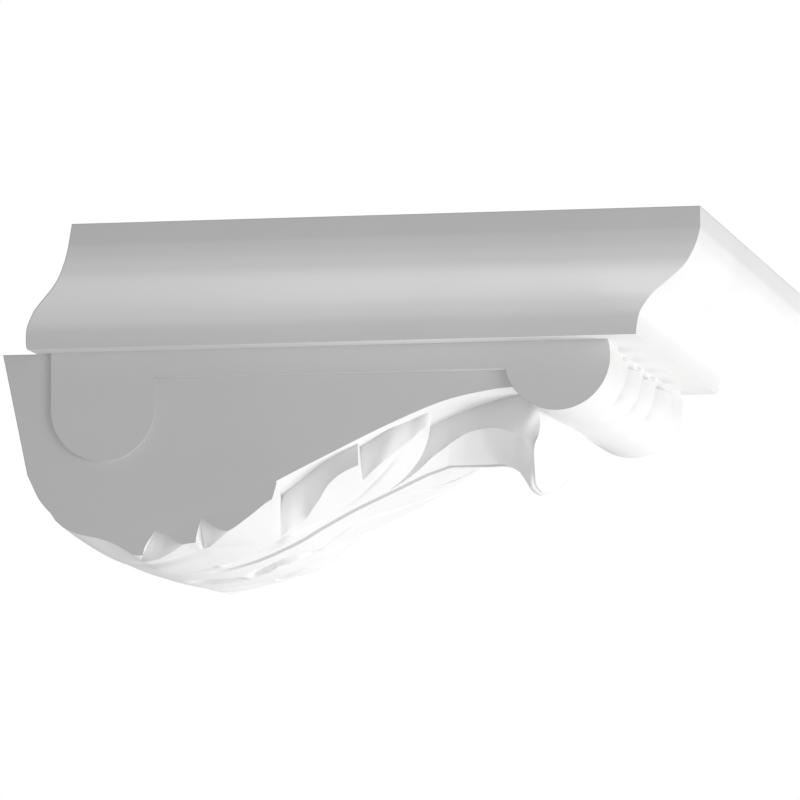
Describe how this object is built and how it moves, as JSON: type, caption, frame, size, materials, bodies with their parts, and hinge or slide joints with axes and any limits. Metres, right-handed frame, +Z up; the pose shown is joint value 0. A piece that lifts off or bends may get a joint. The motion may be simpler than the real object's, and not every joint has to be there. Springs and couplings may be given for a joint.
{
  "type": "decorative bracket",
  "caption": "White moulded modillion: a crown moulding over a scroll-sided body, with a reeded front roll and an acanthus leaf that curls down at its tip.",
  "frame": {"origin": "middle of the flat top, the face that is fixed up under the cornice", "axes": "+Z up, out of the top; -Y forward, out of the wall towards the reeded roll; X across the bracket, its plane of symmetry at X = 0"},
  "size_m": [0.2734, 0.3002, 0.1333],
  "materials": {
    "primed_white": "matte white primer over moulded polyurethane"
  },
  "bodies": {
    "root": {"bracket": "primed_white"}
  },
  "joints": []
}
